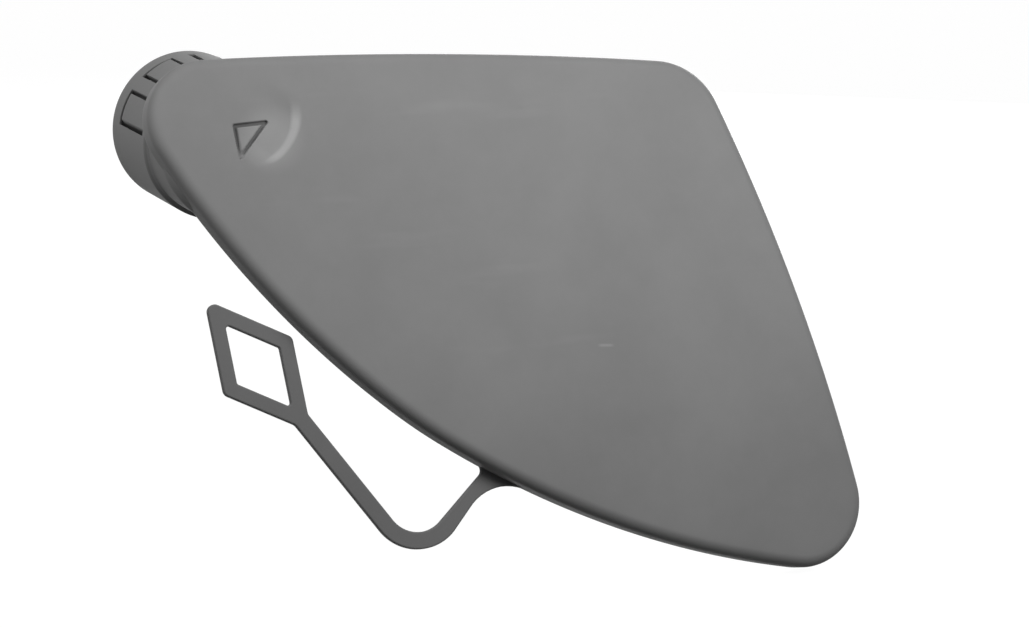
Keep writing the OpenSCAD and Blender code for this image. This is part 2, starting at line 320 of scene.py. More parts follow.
@dataclass(frozen=True)
class FingerPress:
    """Press mark over the collar: a tilted thumb scoop with an engraved right-angled triangle."""

    centre: tuple[float, float] = (4.6, 6.9)
    floor_r: float = 6.9
    rim_centre: tuple[float, float] = (0.5, 9.74)
    rim_r: float = 13.4
    side_fade: tuple[float, float] = (4.5, 9.5)
    side_shift: float = 0.5
    depth: float = 1.0
    wall: float = 1.4
    soft: float = 0.12
    fall_heading: float = -38.0
    mark_corner: tuple[float, float] = (-0.6, 6.4)
    mark_turn: float = 3.0
    mark_leg: float = 7.0
    groove: float = 0.8
    groove_soft: float = 0.12
    groove_depth: float = 0.7

    def hollow(self, p: np.ndarray) -> np.ndarray:
        """Depth of the scoop: a floor that falls along one heading to a soft wall and fades sideways.

        The scoop follows the lower of the floor and the wall, joined by a smooth blend, and runs out
        in a soft tail above them.

        Args:
            p: Points in the plate's frame.

        Returns:
            Depth below the crown.
        """
        soft = self.soft
        offset = p - np.array(self.centre)
        along = (offset @ unit(self.fall_heading)) / self.floor_r
        aside = np.abs(offset @ unit(self.fall_heading + 90.0) - self.side_shift)
        floor = 0.5 * self.depth * (1.0 + along)
        floor = 0.5 * (floor + np.sqrt(floor**2 + soft**2))
        away = np.linalg.norm(p - np.array(self.rim_centre), axis=-1)
        wall = self.depth * (self.rim_r - away) / self.wall
        blend = np.clip(0.5 + 0.5 * (wall - floor) / soft, 0.0, 1.0)
        lower = wall + (floor - wall) * blend - soft * blend * (1.0 - blend)
        tail = soft * np.exp(np.minimum(lower / soft, 1.0) - 1.0)
        near = away < 2.0 * self.rim_r
        return np.where(lower > soft, lower, tail) * near * (1.0 - smooth_step(*self.side_fade, aside))

    def triangle(self) -> np.ndarray:
        """Places the engraved triangle's legs at its square corner.

        Returns:
            The three corners, the square one first.
        """
        corner = np.array(self.mark_corner)
        return corner + np.stack([
            np.zeros(2),
            self.mark_leg * unit(self.mark_turn - 90.0),
            self.mark_leg * unit(self.mark_turn),
        ])

    def engraving(self, p: np.ndarray) -> np.ndarray:
        """Depth of the groove, from the least distance to the triangle's three sides.

        Args:
            p: Points in the plate's frame.

        Returns:
            Depth below the scoop.
        """
        corners = self.triangle()
        least = np.full(p.shape[:-1], np.inf)
        for a, b in zip(corners, np.roll(corners, -1, axis=0)):
            side = b - a
            share = np.clip(((p - a) @ side) / (side @ side), 0.0, 1.0)
            least = np.minimum(least, np.linalg.norm(p - a - share[..., None] * side, axis=-1))
        half = 0.5 * self.groove
        outside = smooth_step(half - self.groove_soft, half + self.groove_soft, least)
        return self.groove_depth * (1.0 - outside)


@dataclass(frozen=True)
class Panel:
    """Shell of the plate: crowned face, rolled edge, skirt and the plain back."""

    plate: Plate
    press: FingerPress
    around: int = 520
    face_rings: int = 140
    roll_steps: int = 9
    skirt_steps: int = 5
    lip_steps: int = 4
    wall_steps: int = 4
    fillet_steps: int = 4
    back_rings: int = 8
    probes: int = 4000
    crowd_gain: float = 6.5
    crowd_reach: float = 13.0
    ring_reach: float = 10.0

    @staticmethod
    def _rows(inset: np.ndarray | float, drop: np.ndarray | float,
              scale: np.ndarray | float = 1.0) -> np.ndarray:
        """Rings from their insets, drops and scales, where a plain number holds for all of them."""
        return np.stack(np.broadcast_arrays(inset, drop, scale), axis=1)

    @staticmethod
    def _quarter(steps: int) -> tuple[np.ndarray, np.ndarray]:
        """Sines and cosines of even steps through a quarter turn, without the first."""
        angle = np.radians(np.linspace(0.0, 90.0, steps + 1)[1:])
        return np.sin(angle), np.cos(angle)

    def rings(self, focus_share: float, spoke: float) -> np.ndarray:
        """Rings as rows of inset from the outline, drop below the crown and scale about the crest.

        Args:
            focus_share: Scale at which a ring passes through the middle of the press mark.
            spoke: Length of a spoke from the crest through the press mark to the edge.

        Returns:
            The rings, from the middle of the face round the skirt to the middle of the back.
        """
        s = self.plate.sizes
        reach = self.ring_reach / spoke
        scale = crowded(1.0, self.face_rings + 1, focus_share, reach, self.crowd_gain)[1:]
        face = self._rows(s.edge_roll, 0.0, scale)
        sin, cos = self._quarter(self.roll_steps)
        roll = self._rows(s.edge_roll * (1 - sin), s.edge_roll * (1 - cos))
        drop = np.linspace(s.edge_roll, s.skirt_depth - s.lip_r, self.skirt_steps + 1)[1:]
        draft = s.skirt_draft * (drop - s.edge_roll) / (s.skirt_depth - s.edge_roll)
        skirt = self._rows(draft, drop)
        sin, cos = self._quarter(self.lip_steps)
        start = s.skirt_draft + s.lip_r
        outer_lip = self._rows(start - s.lip_r * cos, s.skirt_depth - s.lip_r * (1 - sin))
        end = s.skirt_draft + s.skirt_wall - s.lip_r
        inner_lip = self._rows(end + s.lip_r * sin, s.skirt_depth - s.lip_r * (1 - cos))
        flat = np.array([[end, s.skirt_depth, 1.0]])
        rise = np.linspace(s.skirt_depth - s.lip_r, s.face_t + s.inner_fillet, self.wall_steps + 1)[1:]
        wall = self._rows(s.skirt_wall + s.skirt_draft * (rise - s.face_t) / s.skirt_depth, rise)
        sin, cos = self._quarter(self.fillet_steps)
        back_inset = s.skirt_wall + s.inner_fillet
        fillet = self._rows(back_inset - s.inner_fillet * cos, s.face_t + s.inner_fillet * (1 - sin))
        back = self._rows(back_inset, s.face_t, np.linspace(1.0, 0.0, self.back_rings + 1)[1:-1])
        return np.concatenate([face, roll, skirt, outer_lip, flat, inner_lip, wall, fillet, back])

    def focus(self, outline: Outline) -> tuple[float, float, float]:
        """Where the grid crowds, so that the press mark comes out sharp.

        A spoke from the crest through the press mark meets the outline at the probe that turns least
        from it.

        Args:
            outline: The plate's outline.

        Returns:
            Distance of the spoke's end along the outline, the share of the spoke at which the mark
            lies, and the spoke's length up to the rolled edge.
        """
        crest = np.array(self.plate.sizes.crest)
        toward = np.array(self.press.centre) - crest
        probe, _ = outline.at(np.linspace(0.0, outline.length, self.probes, endpoint=False))
        spokes = probe - crest
        lengths = np.linalg.norm(spokes, axis=1)
        turn = np.abs(spokes[:, 0] * toward[1] - spokes[:, 1] * toward[0]) / lengths
        nearest = int(np.argmin(np.where(spokes @ toward > 0.0, turn, np.inf)))
        spoke = float(lengths[nearest]) - self.plate.sizes.edge_roll
        return outline.length * nearest / self.probes, float(np.linalg.norm(toward)) / spoke, spoke

    def height(self, p: np.ndarray, drop: np.ndarray) -> np.ndarray:
        """Height of a ring's points: the crown less the ring's drop, and on the face less the mark.

        Args:
            p: Points in the plate's frame.
            drop: Drops of their rings below the crown.

        Returns:
            The heights.
        """
        on_face = drop < self.plate.sizes.edge_roll
        mark = self.press.hollow(p) + self.press.engraving(p)
        return self.plate.crown(p) - drop - np.where(on_face, mark, 0.0)

    def build(self) -> bpy.types.Object:
        """Sweeps the rings round the outline and closes both middles.

        Returns:
            The panel's object.
        """
        outline = Outline(self.plate.sizes)
        crest = np.array(self.plate.sizes.crest)
        place, share, spoke = self.focus(outline)
        spread = crowded(outline.length, self.around + 1, place, self.crowd_reach, self.crowd_gain)
        points, normals = outline.at(spread[:-1])
        rings = self.rings(share, spoke)
        inset, drop, scale = (rings[:, k][:, None] for k in range(3))
        flat = points[None, :, :] - normals[None, :, :] * inset[..., None]
        flat = crest + (flat - crest) * scale[..., None]
        height = self.height(flat, np.broadcast_to(drop, flat.shape[:2]))
        shell = self.plate.world(flat[..., 0], flat[..., 1], height).reshape(-1, 3)
        top = float(self.plate.crown(crest))
        middles = self.plate.world(*crest, np.array([top, top - self.plate.sizes.face_t]))
        count, around = len(shell), self.around
        i = np.arange(around)
        front = np.stack([np.full(around, count), i, (i + 1) % around], axis=1)
        last = count - around
        back = np.stack([np.full(around, count + 1), last + (i + 1) % around, last + i], axis=1)
        faces = [ring_quads(len(rings), around), front, back]
        return as_object("cover_panel", np.concatenate([shell, middles]), faces)


@dataclass(frozen=True)
class Collar:
    """Round snap collar behind the plate, with two groups of sprung tongues cut in its wall."""

    plate: Plate
    land_r: float = 17.0
    land_len: float = 25.0
    land_wall: float = 2.0
    neck_r: float = 16.0
    neck_wall: float = 2.8
    neck_step: float = 1.0
    rim_chamfer: float = 0.4
    seat: float = 1.2
    shoulder_lift: float = 1.0
    tongue_count: int = 3
    tongue_pitch: float = 39.0
    tongue_angle: float = 24.0
    tongue_middle: float = 119.0
    tongue_inset: float = 6.5
    tongue_root: float = 23.5
    tongue_spring: float = 0.25
    slot_w: float = 0.8
    tip_slot: float = 2.0
    angle_step: float = 1.5
    step_clearance: float = 0.4
    rim_row: float = 2.5
    tongue_rows: int = 9
    neck_rows: int = 6
    spring_power: float = 1.5
    edge_share: float = 0.4
    edge_round: float = 0.15
    edge_segments: int = 2
    sharp: float = 40.0

    def groups(self) -> np.ndarray:
        """Directions of the two groups of tongues, which face each other."""
        return self.tongue_middle + np.array([0.0, 180.0])

    def slot_sides(self) -> np.ndarray:
        """Where a group's side slots lie across its pull: the sine of each side's direction.

        Returns:
            Distances from the middle plane, as one pair to a tongue.
        """
        offset = (np.arange(self.tongue_count) - (self.tongue_count - 1) / 2) * self.tongue_pitch
        sides = offset[:, None] + np.array([-0.5, 0.5]) * self.tongue_angle
        return self.land_r * np.sin(np.radians(sides))

    def across(self, angle: np.ndarray) -> np.ndarray:
        """How far lines of the outer surface lie across the pull of their group.

        Args:
            angle: Directions of the lines.

        Returns:
            Distances from the middle plane of the nearer group.
        """
        away = signed(angle[:, None] - self.groups())
        near = away[np.arange(len(angle)), np.abs(away).argmin(axis=1)]
        return self.land_r * np.sin(np.radians(near))

    def slot_edges(self, radius: float) -> np.ndarray:
        """Directions of all slot edges from the middle of a group, on a surface of the wall."""
        edges = self.slot_sides().ravel()[:, None] + np.array([-0.5, 0.5]) * self.slot_w
        return np.degrees(np.arcsin(edges.ravel() / radius))

    def angles(self) -> np.ndarray:
        """Puts the slots' edges among even steps, and drops the steps that come close to one.

        Returns:
            Directions of the grid's lines, in rising order.
        """
        edges = (self.slot_edges(self.land_r)[:, None] + self.groups()).ravel() % 360.0
        even = np.arange(0.0, 360.0, self.angle_step)
        gap = np.abs(signed(even[:, None] - edges)).min(axis=1)
        return np.sort(np.concatenate([even[gap > self.step_clearance * self.angle_step], edges]))

    def inner_angles(self, angle: np.ndarray) -> np.ndarray:
        """Moves the lines apart for the inner surface, where the straight slots spread out.

        Args:
            angle: Directions of the lines on the outer surface.

        Returns:
            Directions of the same lines on the inner one.
        """
        inner = angle.copy()
        radii = (self.land_r, self.land_r - self.land_wall)
        outer_edges, inner_edges = (np.concatenate([[-90.0], self.slot_edges(r), [90.0]]) for r in radii)
        for group in self.groups():
            away = signed(angle - group)
            near = np.abs(away) <= 90.0
            inner = np.where(near, group + np.interp(away, outer_edges, inner_edges), inner)
        return inner

    def depths(self) -> np.ndarray:
        """Places the land's lines, with the slots' ends among them.

        Returns:
            Distances of the lines from the rim.
        """
        half = 0.5 * self.tip_slot
        start = [0.0, self.rim_chamfer, self.rim_row, self.tongue_inset - half]
        tongue = np.linspace(self.tongue_inset + half, self.tongue_root, self.tongue_rows)
        return np.concatenate([start, tongue, [self.land_len]])

    def end(self, radius: float, angle: np.ndarray) -> np.ndarray:
        """Where the collar's wall ends: in the face, or past the skirt on a shoulder.

        It goes back until it meets the plane of its seat in the face. Where it stands out past the
        skirt it stops at the shoulder's level, or at the skirt's wall.

        Args:
            radius: Radius of the wall's surface.
            angle: Directions round the collar's axis.

        Returns:
            The y of the wall's end.
        """
        s = self.plate.sizes
        x, z = radius * np.cos(np.radians(angle)), radius * np.sin(np.radians(angle))
        rake = np.radians(s.rake)
        sin, cos = np.sin(rake), np.cos(rake)
        gu, gv = self.plate.slope((0.0, 0.0))
        level = (self.seat - s.face_t) * np.sqrt(1.0 + gu**2 + gv**2)
        seat = (level + gu * x + (gv * cos - sin) * z) / (-cos - gv * sin)
        shoulder = (z * sin + s.skirt_depth - self.shoulder_lift) / cos
        outline = Outline(s)
        centre = outline.bow_centres[0]
        span = float(np.linalg.norm(centre))
        out = -centre / span
        limit = s.bows[0] - span - 0.5 * s.skirt_wall
        wall = ((limit - x * out[0]) / out[1] - z * cos) / sin
        return np.maximum(seat, np.minimum(shoulder, wall)) - s.collar_depth

    def cut(self, angle: np.ndarray, depth: np.ndarray) -> np.ndarray:
        """Which cells of the grid the slots take out, from the cells' middles.

        Args:
            angle: Directions of the cells' middles.
            depth: Distances of the cells' middles from the rim.

        Returns:
            True for each cell that is cut.
        """
        place = self.across(angle)[:, None]
        sides = self.slot_sides()
        half = 0.5 * self.slot_w
        in_side = (np.abs(place - sides.ravel()) < half).any(axis=1)
        in_tongue = ((place > sides[:, 0] - half) & (place < sides[:, 1] + half)).any(axis=1)
        tip = np.abs(depth - self.tongue_inset) < 0.5 * self.tip_slot
        run = (depth > self.tongue_inset - 0.5 * self.tip_slot) & (depth < self.tongue_root)
        return (in_side[:, None] & run) | (in_tongue[:, None] & tip)

    def spring(self, angle: np.ndarray, land: np.ndarray) -> np.ndarray:
        """How far the tongues stand out from the land: a power of the way from root to tip.

        A line counts as a tongue's from a little short of its slot's edge, so its edge lines do too.

        Args:
            angle: Directions of the grid's lines.
            land: Distances of the land's lines from the rim.

        Returns:
            Lifts with the direction on the first axis and the depth on the second.
        """
        place = self.across(angle)[:, None]
        sides = self.slot_sides()
        edge = self.edge_share * self.slot_w
        on_tongue = ((place > sides[:, 0] + edge) & (place < sides[:, 1] - edge)).any(axis=1)
        free = (self.tongue_root - land) / (self.tongue_root - self.tongue_inset)
        lift = self.tongue_spring * np.clip(free, 0.0, 1.0) ** self.spring_power
        return on_tongue[:, None] * lift * (land > self.tongue_inset)

    def wall(self, angle: np.ndarray, outside: bool) -> np.ndarray:
        """One surface of the wall as rows of points, from the rim to the collar's end.

        Args:
            angle: Directions of the grid's lines.
            outside: Whether it is the outer surface.

        Returns:
            Points with the direction on the first axis and the depth on the second.
        """
        land_r = self.land_r if outside else self.land_r - self.land_wall
        neck_r = self.neck_r if outside else self.neck_r - self.neck_wall
        land, shoulder = self.depths(), self.land_len + self.neck_step
        radius = np.full((len(angle), len(land)), land_r)
        if outside:
            radius[:, 0] -= self.rim_chamfer
            radius += self.spring(angle, land)
        end = self.end(neck_r, angle)
        neck_y = -shoulder + (end[:, None] + shoulder) * np.linspace(0.0, 1.0, self.neck_rows)
        y = np.concatenate([np.broadcast_to(-land, radius.shape), neck_y], axis=1)
        radius = np.concatenate([radius, np.full(neck_y.shape, neck_r)], axis=1)
        turn = np.radians(angle)[:, None]
        return np.stack([radius * np.cos(turn), y, radius * np.sin(turn)], axis=-1)

    def build(self) -> bpy.types.Object:
        """Joins the outer and inner surfaces at the rim, at the end and along every slot.

        Returns:
            The collar's object, with its edges broken by a small bevel.
        """
        angle = self.angles()
        outer, inner = self.wall(angle, True), self.wall(self.inner_angles(angle), False)
        around, rows = outer.shape[:2]
        turn = np.append(angle, angle[0] + 360.0)
        depth = np.append(self.depths(), self.land_len + self.neck_step)
        middles = (0.5 * (turn[1:] + turn[:-1]), 0.5 * (depth[1:] + depth[:-1]))
        cut = np.zeros((around, rows - 1), dtype=bool)
        cut[:, : len(depth) - 1] = self.cut(*middles)
        shift = around * rows
        number = np.arange(shift).reshape(around, rows)
        beside = np.roll(number, -1, axis=0)
        here, below = number[:, :-1], number[:, 1:]
        right, corner = beside[:, :-1], beside[:, 1:]
        keep = ~cut
        skin = np.stack([here, below, corner, right], axis=-1)[keep]
        sides = keep != np.roll(keep, 1, axis=0)
        side = np.stack([here, below, below + shift, here + shift], axis=-1)[sides]
        above = np.concatenate([np.zeros((around, 1), bool), keep], axis=1)
        under = np.concatenate([keep, np.zeros((around, 1), bool)], axis=1)
        across = np.stack([number, beside, beside + shift, number + shift], axis=-1)[above != under]
        points = np.concatenate([outer.reshape(-1, 3), inner.reshape(-1, 3)])
        piece = as_object("cover_collar", points, [skin, skin + shift, side, across])
        break_edges(piece, self.edge_round, self.edge_segments, self.sharp)
        return piece


@dataclass(frozen=True)
class Tether:
    """Flat tether in a plane behind the face: web at the root, strap, bend and diamond loop."""

    plate: Plate
    width: float = 3.75
    root_width: float = 2.8
    thickness: float = 1.6
    root_angle: float = 237.0
    root_heading: float = 224.5
    short_run: float = 14.6
    bend_r: float = 9.1
    bend_turn: float = 100.0
    long_run: float = 29.5
    loop_len: float = 29.8
    loop_w: float = 16.2
    loop_arm: float = 3.3
    loop_fillet: float = 0.6
    fillet_in: float = 1.6
    fillet_out: float = 11.0
    web_sink: float = 0.25
    skirt_probes: int = 20000
    sunk: float = 1.1
    junction_fillet: float = 2.0
    edge_r: float = 0.35
    arc_steps: int = 12
    bend_steps: int = 40
    run_steps: int = 10
    tip_steps: int = 8
    junction_steps: int = 4
    edge_steps: int = 3
    strap_gap: float = 0.3
    least_spread: float = 0.4

    def root(self) -> tuple[np.ndarray, np.ndarray, float]:
        """Finds where the middle line leaves the skirt.

        Returns:
            The point, the edge's normal there and the level of the tether's plane.
        """
        s = self.plate.sizes
        normal = unit(self.root_angle)
        point = Outline(s).bow_centres[0] + normal * s.bows[0]
        return point, normal, float(self.plate.crown(point)) - s.skirt_depth

    def skirt_at(self, point: np.ndarray) -> tuple[np.ndarray, float]:
        """Finds the place on the outline that lies nearest to a point.

        Args:
            point: The point, in the plate's frame.

        Returns:
            The outline's point and the direction of its outward normal, in degrees.
        """
        outline = Outline(self.plate.sizes)
        probes = np.linspace(0.0, outline.length, self.skirt_probes, endpoint=False)
        edge, normals = outline.at(probes)
        nearest = int(np.argmin(np.linalg.norm(edge - point, axis=1)))
        return edge[nearest], float(direction(normals[nearest]))

    def fillet(self, corner: np.ndarray, edge: float, f: float) -> np.ndarray:
        """Arc of radius f between the skirt's edge and the strap, both touched.

        Args:
            corner: Where the strap's side meets the skirt.
            edge: Direction along the skirt, away from the strap.
            f: Radius of the fillet.

        Returns:
            Points from the skirt to the strap.
        """
        half = 0.5 * signed(edge - self.root_heading)
        slant = np.radians(abs(half))
        middle = corner + unit(self.root_heading + half) * f / np.sin(slant)
        ends = corner + unit(np.array([edge, self.root_heading])) * (f / np.tan(slant)) - middle
        start, stop = direction(ends)
        sweep = signed(stop - start) * np.linspace(0.0, 1.0, self.arc_steps)
        return middle + f * unit(start + sweep)

    def strap_sides(self) -> tuple[np.ndarray, np.ndarray]:
        """Left and right side of the strap, point by point from inside the skirt to the loop.

        Returns:
            Two arrays of points in the tether's plane.
        """
        point, normal, _ = self.root()
        ahead, left = unit(self.root_heading), unit(self.root_heading + 90.0)
        edge, facing = self.skirt_at(point)
        out, along = unit(facing), unit(facing - 90.0)
        below = edge - out * (self.plate.sizes.skirt_draft + self.web_sink) - point
        seat = point + ahead * (below @ out) / (ahead @ out)
        foot = 0.5 * self.root_width / np.cos(np.radians(self.root_heading - facing))
        web_right = self.fillet(seat + along * foot, facing - 90.0, self.fillet_in)
        web_left = self.fillet(seat - along * foot, facing + 90.0, self.fillet_out)
        heading = self.root_heading - self.bend_turn * np.linspace(0.0, 1.0, self.bend_steps + 1)
        centre = point + ahead * self.short_run - left * self.bend_r
        bend = centre + unit(heading + 90.0) * self.bend_r
        run = np.linspace(1.0 / self.run_steps, 1.0, self.run_steps)[:, None]
        far = bend[-1] + unit(heading[-1]) * self.long_run * run
        line = np.concatenate([bend, far])
        facings = np.append(heading, np.full(len(far), heading[-1])) + 90.0
        aside = unit(facings) * 0.5 * self.width
        web_start = normal * self.sunk
        sides = []
        for web, turn in ((web_left, 1.0), (web_right, -1.0)):
            sides.append(np.concatenate([web[:1] - web_start, web, line + turn * aside]))
        return sides[0], sides[1]

    def diamond(self, half_l: float, half_w: float, radius: float) -> np.ndarray:
        """Centred diamond with round corners, as an arc about each corner.

        Args:
            half_l: Half its length between the arcs' centres.
            half_w: Half its width between them.
            radius: Radius of the arcs.

        Returns:
            Points from the corner at the strap on, against the clock.
        """
        lean = np.degrees(np.arctan2(half_w, half_l))
        share = np.linspace(0.0, 1.0, self.tip_steps + 1)
        arcs = [
            ([-half_l, 0.0], 90.0 + lean, 180.0 - 2.0 * lean),
            ([0.0, -half_w], 270.0 - lean, 2.0 * lean),
            ([half_l, 0.0], lean - 90.0, 180.0 - 2.0 * lean),
            ([0.0, half_w], 90.0 - lean, 2.0 * lean),
        ]
        return np.concatenate([np.array(c) + radius * unit(a + sweep * share) for c, a, sweep in arcs])

    def junction(self) -> np.ndarray:
        """Fillet that touches the strap's right side and the loop's first side.

        Returns:
            Points from the strap to the loop, in the loop's frame.
        """
        lean = np.arctan2(self.loop_w, self.loop_len)
        t = self.junction_fillet * np.tan(0.5 * lean)
        meet = 0.5 * (self.width - self.loop_arm / np.cos(lean)) / np.tan(lean)
        middle = np.array([meet - 0.5 * self.loop_len - t, -0.5 * self.width - self.junction_fillet])
        turn = np.degrees(lean) * np.linspace(0.0, 1.0, self.junction_steps + 1)
        return middle + self.junction_fillet * unit(90.0 - turn)

    def contours(self) -> tuple[np.ndarray, np.ndarray, int]:
        """Joins strap and loop into one outer contour and adds the loop's inner one.

        The outer contour runs down the strap's right side, round the loop and back up the left side.

        Returns:
            The outer contour, the inner one and the strap's station count.
        """
        half_l, half_w = 0.5 * self.loop_len, 0.5 * self.loop_w
        lean = np.arctan2(half_w, half_l)
        core = 0.5 * self.loop_arm + self.loop_fillet
        hole_l, hole_w = half_l - core / np.sin(lean), half_w - core / np.cos(lean)
        inner = self.diamond(hole_l, hole_w, self.loop_fillet)
        outer = self.diamond(half_l, half_w, 0.5 * self.loop_arm)[self.tip_steps + 1:]
        left, right = self.strap_sides()
        start = 0.5 * (left[-1] + right[-1])
        ahead = unit(self.root_heading - self.bend_turn)
        turn = np.stack([ahead, [-ahead[1], ahead[0]]])
        shift = np.array([half_l, 0.0])
        fillet = self.junction()
        loop = np.concatenate([fillet, outer, fillet[::-1] * np.array([1.0, -1.0])]) + shift
        strap_end = 0.5 * (loop[0, 0] + loop[-1, 0]) - self.strap_gap
        keep = (0.5 * (left[:-1] + right[:-1]) - start) @ ahead < strap_end
        left, right = left[:-1][keep], right[:-1][keep]
        outline = np.concatenate([right, start + loop @ turn, left[::-1]])
        return outline, start + (inner + shift) @ turn, len(left)

    def edge_ring(self, contour: np.ndarray, inward: float) -> np.ndarray:
        """Side wall of the bar along a closed contour, with round upper and lower edges.

        Each level is the contour moved along the bisectors of its corners, which are lengthened so
        that the wall's thickness holds, up to a limit at sharp corners.

        Args:
            contour: The contour, in order.
            inward: 1 where the bar lies to the left of the contour's run, and -1 where it lies to
                the right.

        Returns:
            Row frame points, level by level from the underside to the top.
        """
        ahead = np.roll(contour, -1, axis=0) - contour
        ahead /= np.linalg.norm(ahead, axis=1)[:, None]
        left = np.stack([-ahead[:, 1], ahead[:, 0]], axis=1)
        middle = left + np.roll(left, 1, axis=0)
        middle /= np.maximum((middle * left).sum(axis=1), self.least_spread)[:, None]
        q = np.radians(np.linspace(0.0, 90.0, self.edge_steps + 1))
        rounded = self.edge_r * (1.0 - np.cos(q))
        raised = self.edge_r * (1.0 - np.sin(q))
        near = np.concatenate([rounded[::-1], rounded]) * inward
        height = np.concatenate([raised[::-1], self.thickness - raised])
        flat = contour[None] + middle[None] * near[:, None, None]
        return self.plate.world(flat[..., 0], flat[..., 1], self.root()[2] + height[:, None])

    def build(self) -> bpy.types.Object:
        """Closes the outer and the inner wall with flat faces above and below.

        The flats are quads across the strap, quads between the far arms and the hole, and one face
        with many corners where the strap meets the loop.

        Returns:
            The tether's object.
        """
        outline, hole, stations = self.contours()
        outer, inner = self.edge_ring(outline, 1.0), self.edge_ring(hole, -1.0)
        levels, count = outer.shape[:2]
        bored = inner.shape[1]
        walls = ring_quads(levels, count)
        hole_walls = ring_quads(levels, bored) + levels * count
        i = np.arange(stations - 1)
        strap = np.stack([i, i + 1, count - 2 - i, count - 1 - i], axis=1)
        first = stations + len(self.junction())
        arm = 3 * (self.tip_steps + 1)
        j = np.arange(arm - 1)
        beside = count + bored - arm + j
        arms = np.stack([first + j, first + j + 1, beside + 1, beside], axis=1)
        near = np.arange(stations - 1, first + 1)
        far = np.arange(first + arm - 1, count - stations + 1)
        inside = count + np.concatenate([np.arange(bored - arm + 1)[::-1], [bored - 1]])
        middle = np.concatenate([near, inside, far])[None, :]
        flats = []
        for level in (0, levels - 1):
            ring = np.concatenate([level * count + np.arange(count),
                                   levels * count + level * bored + np.arange(bored)])
            flats += [ring[strap], ring[arms], ring[middle]]
        points = np.concatenate([outer.reshape(-1, 3), inner.reshape(-1, 3)])
        curved = len(walls) + len(hole_walls)
        total = curved + sum(len(block) for block in flats)
        return as_object("cover_tether", points, [walls, hole_walls, *flats], np.arange(total) < curved)


@dataclass(frozen=True)
class BackHooks:
    """Retaining hooks on the back, near the right and lower sides."""

    plate: Plate
    width: float = 10.0
    thickness: float = 2.0
    reach: float = 15.0
    lip: float = 2.2
    catch: float = 0.9
    lead: float = 2.6
    tip: float = 0.9
    inset: float = 6.0
    right_shares: tuple[float, ...] = (4.0 / 12.0, 10.0 / 12.0)
    lower_share: float = 5.0 / 16.0
    edge_round: float = 0.3
    edge_segments: int = 3
    sharp: float = 25.0

    def profile(self) -> np.ndarray:
        """Side view of a hook, with its catch, lip and sloping lead.

        Returns:
            Points of distance outwards and height above the crown.
        """
        half_face = 0.5 * self.plate.sizes.face_t
        return np.array([
            [-self.thickness, -half_face],
            [0.0, -half_face],
            [0.0, self.lead + self.catch - self.reach],
            [self.lip, self.lead - self.reach],
            [self.tip, -self.reach],
            [-self.thickness, -self.reach],
        ])

    def build(self) -> bpy.types.Object:
        """Extrudes the side view along the plate's edge at each station.

        Returns:
            The hooks' object, with its edges broken by a small bevel.
        """
        outline = Outline(self.plate.sizes)
        lower, right = outline.marks[3:5], outline.marks[5:7]
        places = [right[0] + share * (right[1] - right[0]) for share in self.right_shares]
        places.append(lower[0] + self.lower_share * (lower[1] - lower[0]))
        points, normals = outline.at(np.array(places))
        base = points - normals * self.inset
        profile = self.profile()
        side = np.stack([-normals[:, 1], normals[:, 0]], axis=1)
        ends = 0.5 * self.width * np.array([-1.0, 1.0])
        flat = (base[:, None, None, :] + normals[:, None, None, :] * profile[None, None, :, :1]
                + side[:, None, None, :] * ends[None, :, None, None])
        height = self.plate.crown(base)[:, None, None] + profile[None, None, :, 1]
        height = np.broadcast_to(height, flat.shape[:3])
        cloud = self.plate.world(flat[..., 0], flat[..., 1], height).reshape(-1, 3)
        corners = len(profile)
        i = np.arange(corners)
        walls = np.stack([i, (i + 1) % corners, (i + 1) % corners + corners, i + corners], axis=1)
        caps = np.stack([i[::-1], i + corners])
        shifts = (np.arange(len(places)) * 2 * corners)[:, None, None]
        blocks = [(walls + shifts).reshape(-1, 4), (caps + shifts).reshape(-1, corners)]
        piece = as_object("cover_hooks", cloud, blocks)
        break_edges(piece, self.edge_round, self.edge_segments, self.sharp)
        return piece


